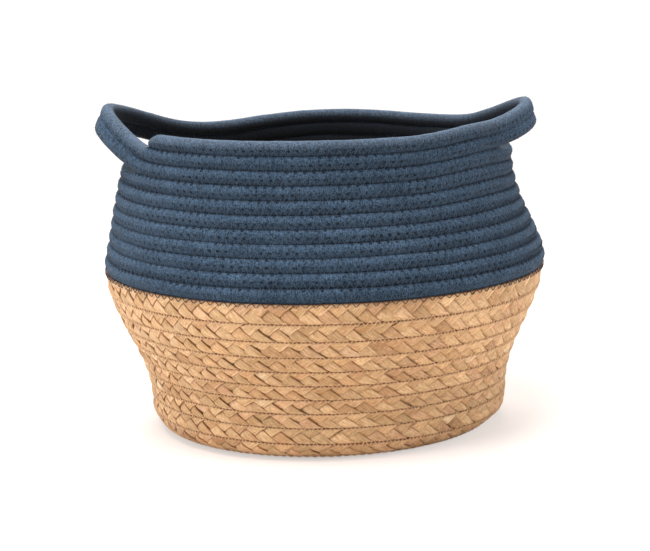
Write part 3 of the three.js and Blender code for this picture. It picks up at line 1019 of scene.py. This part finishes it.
def joining_stitch_height(away, share):
    """The thread climbs from the plait, which is thinner, onto the rope."""
    on_rope = JOINING_STITCH_RISE * np.clip(-away / JOINING_REACH[0], 0, 1)
    on_plait = PLAIT_STITCH_RISE * np.clip(away / JOINING_REACH[1], 0, 1)
    return JOINING_STITCH_HEIGHT + on_rope + on_plait - sinking(share, *JOINING_SINK)


def stitch_tube(name, from_turn, to_turn, pitch, reach, diameter, surface, curved):
    """Zigzag thread across the groove under the row at each turn; it goes in at both ends."""
    reach_up, reach_down = reach
    turns, _ = even_turns(from_turn, to_turn, pitch / STITCH_STEPS)
    run = run_at(turns)
    phase = run / pitch
    share = 1 - 2 * np.abs(2 * (phase - np.floor(phase)) - 1)
    away = (share + 1) / 2 * (reach_up + reach_down) - reach_up
    away *= 1 + waver(run, *STITCH_REACH_WAVER)
    height = surface(away, np.abs(share)) + waver(run, *STITCH_HEIGHT_WAVER)
    if curved:
        path, out = on_outline(turns, np.ones_like(turns), height, away)
    else:
        above, out_a, down_a, width_a = strip_at(turns)
        below, out_b, down_b, width_b = strip_at(turns + 1)
        upper = above + down_a * (width_a / 2)[:, None]
        lower = below - down_b * (width_b / 2)[:, None]
        out = unit(out_a + out_b)
        path = (upper + lower) / 2 + unit(down_a + down_b) * away[:, None]
        path += out * height[:, None]
    tangent = unit(np.gradient(path, axis=0))
    side = unit(np.cross(tangent, out))
    up = np.cross(side, tangent)
    angle = np.arange(THREAD_SIDES) / THREAD_SIDES * 2 * np.pi
    rings = path[:, None, :] + side[:, None, :] * (diameter / 2 * np.cos(angle))[:, None]
    rings += up[:, None, :] * (diameter / 2 * np.sin(angle))[:, None]
    rings[:, :, 2] = np.maximum(rings[:, :, 2], FLOOR_CLEARANCE)
    return tube_mesh(name, rings, lengths_along(path), angle * diameter / 2)


# Each kind of seam: thread and slot; stitch pitch, reach and thread diameter in millimetres;
# stitch height, and whether its path follows the curved wall as the plait does
ROPE_SEAM = (NAVY_THREAD, "rope_thread", ROPE_STITCH, ROPE_REACH, 0.55, rope_stitch_height, False)
JOINING_SEAM = (DARK_THREAD, "rope_thread", 6.1, JOINING_REACH, 0.5, joining_stitch_height, False)
PLAIT_SEAM = (STRAW_THREAD, "plait_thread", 5.2, (2.0, 2.0), 0.5, plait_stitch_height, True)


def sew(name, node, from_turn, to_turn, seam):
    """Add the stitches that stand for one of the CAD's seam threads."""
    thread, slot, *stitch = seam
    add_piece(name, stitch_tube(name, from_turn, to_turn, *stitch), thread, [node])


def last_turn_above(length, from_turn, per_turn):
    """The last step after a turn whose upper edge lies above a length below the rim."""
    steps = 0
    while edge_at(from_turn + (steps + 1) / per_turn) < length:
        steps += 1
    return from_turn + steps / per_turn


# The turns where the pieces meet, as in the part's source
BASE_START_TURN = last_turn_above(CORNER_END, ROPE_START_TURN, STEPS_PER_TURN)
COARSE_TURN = last_turn_above(TOTAL - COARSE_RADIUS, BASE_START_TURN, STEPS_PER_TURN)
BASE_END_TURN = last_turn_above(INNERMOST_EDGE - PLAIT_TIP_WIDTH, COARSE_TURN, CENTRE_STEPS_PER_TURN)
(RIGHT_FROM, RIGHT_TO), (LEFT_FROM, LEFT_TO) = [
    (handle["turn"] - handle["open"][0] / 360, handle["turn"] + handle["open"][1] / 360)
    for handle in HANDLES
]

# Only the visual pieces: where the strands end, where the first stitch is and how far each
# stretch of rope runs on into the next
EDGE_TURNS = np.arange(len(EDGES)) / STEPS_PER_TURN
HEART_TURN = float(np.interp(TOTAL - HEART_RADIUS, EDGES, EDGE_TURNS))
FIRST_STITCH_TURN = 0.016
PIECE_OVERLAP = 0.0004

# Rope pieces
rope_pieces = [("wall_rope_coil", FIRST_WALL_TURN, ROPE_START_TURN)]
for row, level in enumerate(("upper", "lower")):
    rope_pieces += [
        ("rim_rope_front_" + level, row, row + RIGHT_FROM),
        ("right_handle_rope_" + level, row + RIGHT_FROM, row + RIGHT_TO),
        ("rim_rope_back_" + level, row + RIGHT_TO, row + LEFT_FROM),
        ("left_handle_rope_" + level, row + LEFT_FROM, row + LEFT_TO),
    ]
fuzz = []
for node, start, stop in rope_pieces:
    tapers = (
        ROPE_END_TAPER if start == 0 else 0.0,
        ROPE_START_TAPER if stop == ROPE_START_TURN else 0.0,
    )
    mesh, fibres = rope_tube(node + "_knit", start, stop + PIECE_OVERLAP, tapers)
    add_piece(node + "_knit", mesh, ROPE, [node])
    fuzz.append(fibres)
rope_nodes = [node for node, _, _ in rope_pieces]
add_piece("rope_fuzz", fuzz_mesh("rope_fuzz", fuzz), FUZZ_COTTON, rope_nodes)

# Plait pieces: three strands each
plait_parts = (("wall", ROPE_START_TURN, BASE_START_TURN), ("base", BASE_START_TURN, HEART_TURN))
for strand, letter in enumerate("abc"):
    for part, start, stop in plait_parts:
        name = f"{part}_plait_strand_{letter}"
        mesh = strand_tube(name, start, stop, strand)
        add_piece(name, mesh, PLAIT, [part + "_plait_coil"])

# Stitches
rope_seams = [("wall_rope_seam_thread", FIRST_WALL_TURN, ROPE_START_TURN - 1)]
for row, level in enumerate(("upper", "lower")):
    rope_seams += [
        ("rim_front_seam_thread_" + level, row + FIRST_STITCH_TURN, row + RIGHT_FROM),
        ("rim_back_seam_thread_" + level, row + RIGHT_TO, row + LEFT_FROM),
    ]
rope_seams += [
    ("right_handle_seam_thread", RIGHT_FROM, RIGHT_TO),
    ("left_handle_seam_thread", LEFT_FROM, LEFT_TO),
]
for node, start, stop in rope_seams:
    sew(node + "_zigzag", node, start, stop, ROPE_SEAM)
sew("joining_seam_zigzag", "joining_seam_thread", ROPE_START_TURN - 1, ROPE_START_TURN,
    JOINING_SEAM)
sew("wall_plait_zigzag", "wall_plait_seam_thread", ROPE_START_TURN, BASE_START_TURN - 1,
    PLAIT_SEAM)
sew("base_plait_zigzag", "base_seam_thread", BASE_START_TURN, BASE_END_TURN - UNSEWN_TURNS,
    PLAIT_SEAM)

# Floor, world, lamps and camera, in metres
FLOOR_CORNERS = [(-30, -8, 0), (30, -8, 0), (30, 60, 0), (-30, 60, 0)]
FLOOR_PAPER = (0.93, 0.85, 0.79, 1.0)
FLOOR_WHITE = (1.0, 0.955, 0.925, 1.0)
FLOOR_GLOW = 1.1
SHADE_CENTRE = (-0.14, -0.2, 0.0)
SHADE_SPAN = (0.05, 1.4)
LEAST_GLOW = 0.42
WORLD_COLOUR = (1.0, 0.985, 0.965, 1.0)
WORLD_LEVEL = 0.36
WHITE_LIGHT = (1.0, 1.0, 1.0)
COOL_DAYLIGHT = (0.81, 0.89, 1.0)
# Each lamp's name, place, target, size, power in watts and colour
LAMPS = (
    ("top_softbox", (-0.3, -0.35, 1.7), (0, 0, 0.1), 1.2, 40.0, WHITE_LIGHT),
    ("front_fill", (0.3, -2.2, 0.35), (0, 0, 0.12), 1.3, 2.0, WHITE_LIGHT),
    ("left_softbox", (-1.5, -0.9, 0.7), (0, 0, 0.12), 1.0, 15.5, COOL_DAYLIGHT),
    ("right_softbox", (1.6, -0.5, 0.7), (0, 0, 0.12), 1.0, 12.0, COOL_DAYLIGHT),
    ("back_softbox", (0.1, 1.3, 1.1), (0, 0, 0.2), 1.0, 24.0, WHITE_LIGHT),
)
PHOTO_WIDTH = 650
FOCAL_PIXELS = 1923
SENSOR_WIDTH = 36.0
CAMERA_PLACE = (0.0, -1.300, 0.346)
CAMERA_PITCH = 10.78
CAMERA_ROLL = 2.05
CAMERA_REACH = 200.0


def add_floor():
    """White paper that glows for the camera, least by the basket so that its shadow shows."""
    mesh = bpy.data.meshes.new("floor")
    mesh.from_pydata(FLOOR_CORNERS, [], [(0, 1, 2, 3)])
    floor = new_object("floor", mesh)
    material = bpy.data.materials.new("white_floor")
    n = cleared_tree(material)
    paper = n.add("ShaderNodeBsdfDiffuse", {"Color": FLOOR_PAPER}).outputs[0]
    white = n.add("ShaderNodeEmission", {"Color": FLOOR_WHITE, "Strength": FLOOR_GLOW}).outputs[0]
    seen = n.add("ShaderNodeLightPath").outputs["Is Camera Ray"]
    away = n.vector("DISTANCE", n.geometry("Position"), SHADE_CENTRE)
    share = n.times(seen, n.span(away, *SHADE_SPAN, LEAST_GLOW, 1.0))
    mixed = n.numbered("ShaderNodeMixShader", share, paper, white).outputs[0]
    n.add("ShaderNodeOutputMaterial", {"Surface": mixed})
    mesh.materials.append(material)


def set_world():
    """Soft light all round, and plain white where the camera or a reflection sees it."""
    world = bpy.data.worlds.new("studio")
    scene.world = world
    n = cleared_tree(world)
    path = n.add("ShaderNodeLightPath").outputs
    seen = n.math("MAXIMUM", path["Is Camera Ray"], path["Is Glossy Ray"])
    seen = n.math("MAXIMUM", seen, path["Is Transmission Ray"])
    soft = n.add("ShaderNodeBackground", {"Color": WORLD_COLOUR, "Strength": WORLD_LEVEL}).outputs[0]
    white = n.add("ShaderNodeBackground", {"Color": (1, 1, 1, 1), "Strength": 1.0}).outputs[0]
    mixed = n.numbered("ShaderNodeMixShader", seen, soft, white).outputs[0]
    n.add("ShaderNodeOutputWorld", {"Surface": mixed})


def add_lamp(name, place, target, size, power, colour):
    light = bpy.data.lights.new(name, "AREA")
    light.shape = "DISK"
    light.size = size
    light.energy = power
    light.color = colour
    lamp = new_object(name, light)
    lamp.location = place
    lamp.rotation_euler = (Vector(target) - Vector(place)).to_track_quat("-Z", "Y").to_euler()


def add_camera():
    """The photograph's own view, fitted to the grooves between the rows and to the outline."""
    pitch = math.radians(CAMERA_PITCH)
    roll = math.radians(CAMERA_ROLL)
    back = Vector((0, -math.cos(pitch), math.sin(pitch)))
    up = Vector((0, math.sin(pitch), math.cos(pitch)))
    side = Vector((1, 0, 0))
    camera_side = side * math.cos(roll) - up * math.sin(roll)
    camera_up = side * math.sin(roll) + up * math.cos(roll)
    data = bpy.data.cameras.new("camera")
    data.sensor_width = SENSOR_WIDTH
    data.lens = FOCAL_PIXELS / PHOTO_WIDTH * SENSOR_WIDTH
    data.clip_end = CAMERA_REACH
    camera = new_object("camera", data)
    turned = Matrix((camera_side, camera_up, back)).transposed().to_4x4()
    camera.matrix_world = Matrix.Translation(CAMERA_PLACE) @ turned
    scene.camera = camera


add_floor()
set_world()
for lamp in LAMPS:
    add_lamp(*lamp)
add_camera()

scene.view_settings.view_transform = "Standard"
